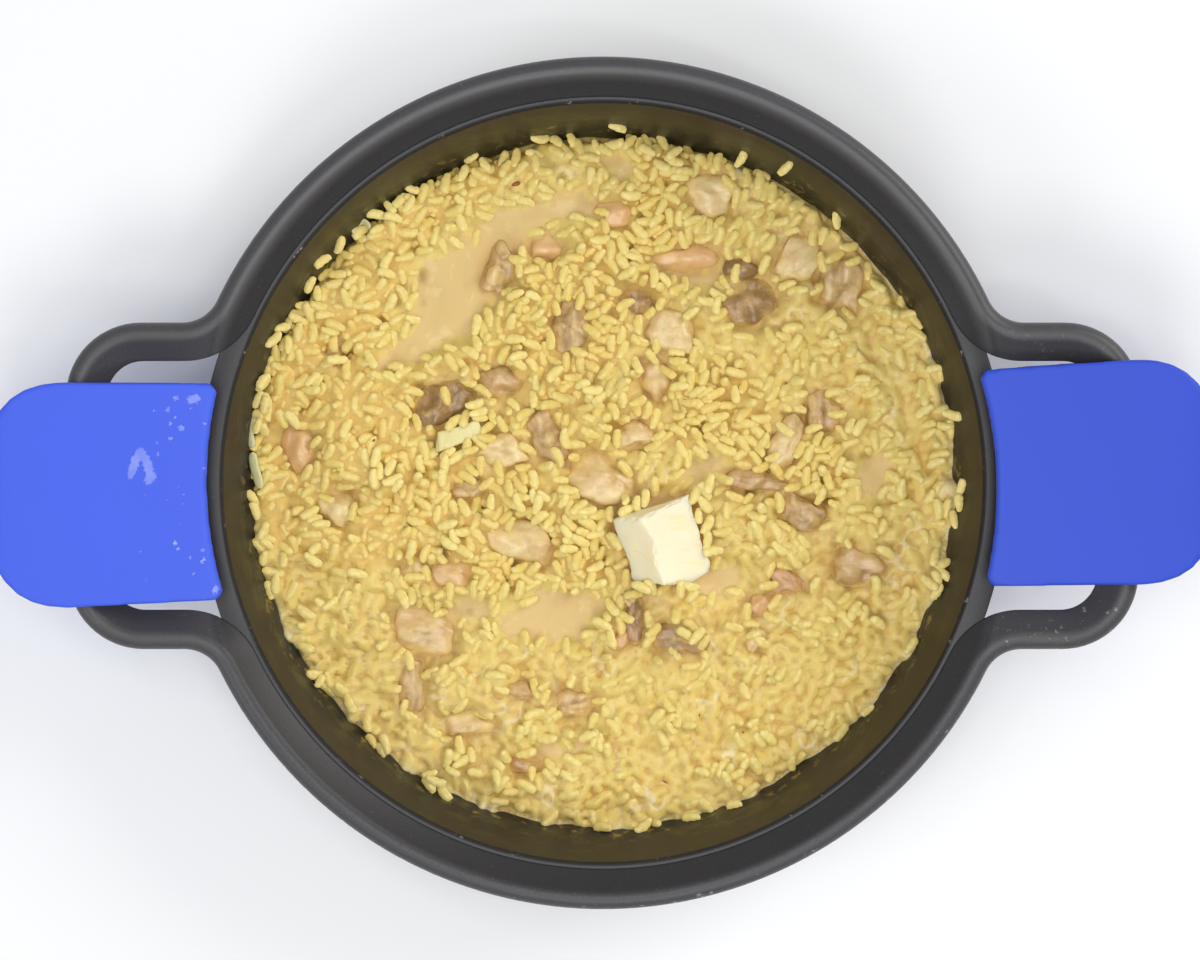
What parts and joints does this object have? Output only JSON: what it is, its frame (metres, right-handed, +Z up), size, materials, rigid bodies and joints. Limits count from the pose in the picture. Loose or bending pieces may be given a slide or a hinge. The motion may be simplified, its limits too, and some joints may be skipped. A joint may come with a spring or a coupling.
{
  "type": "chicken risotto in a pan",
  "caption": "Wide two-handled cast pan with silicone sleeves on its loop handles, filled with yellow rice, chunks of chicken and a lump of butter.",
  "frame": {"origin": "middle of the pan's flat base, on the surface it stands on", "axes": "+X along the two loop handles, +Z up out of the pan, +Y across the pan"},
  "size_m": [0.5148, 0.356, 0.084],
  "materials": {
    "pan_coating": "cast aluminium with a dark, finely speckled satin non-stick coating",
    "silicone": "smooth matt blue silicone",
    "risotto": "creamy saffron-yellow rice, glossy where the sauce pools",
    "chicken": "moist cooked chicken, pale to brown, coated with sauce",
    "onion": "soft translucent cooked onion",
    "butter": "smooth cool butter, broken edges"
  },
  "bodies": {
    "root": {"pan": "pan_coating", "grip_left": "silicone", "grip_right": "silicone", "risotto": "risotto", "chicken_01": "chicken", "chicken_02": "chicken", "chicken_03": "chicken", "chicken_04": "chicken", "chicken_05": "chicken", "chicken_06": "chicken", "chicken_07": "chicken", "chicken_08": "chicken", "chicken_09": "chicken", "chicken_10": "chicken", "chicken_11": "chicken", "chicken_12": "chicken", "chicken_13": "chicken", "chicken_14": "chicken", "chicken_15": "chicken", "chicken_16": "chicken", "chicken_17": "chicken", "chicken_18": "chicken", "chicken_19": "chicken", "chicken_20": "chicken", "chicken_21": "chicken", "chicken_22": "chicken", "chicken_23": "chicken", "chicken_24": "chicken", "chicken_25": "chicken", "chicken_26": "chicken", "chicken_27": "chicken", "chicken_28": "chicken", "chicken_29": "chicken", "chicken_30": "chicken", "chicken_31": "chicken", "chicken_32": "chicken", "chicken_33": "chicken", "chicken_34": "chicken", "chicken_35": "chicken", "chicken_36": "chicken", "chicken_37": "chicken", "chicken_38": "chicken", "onion_slice": "onion", "butter": "butter"}
  },
  "joints": []
}
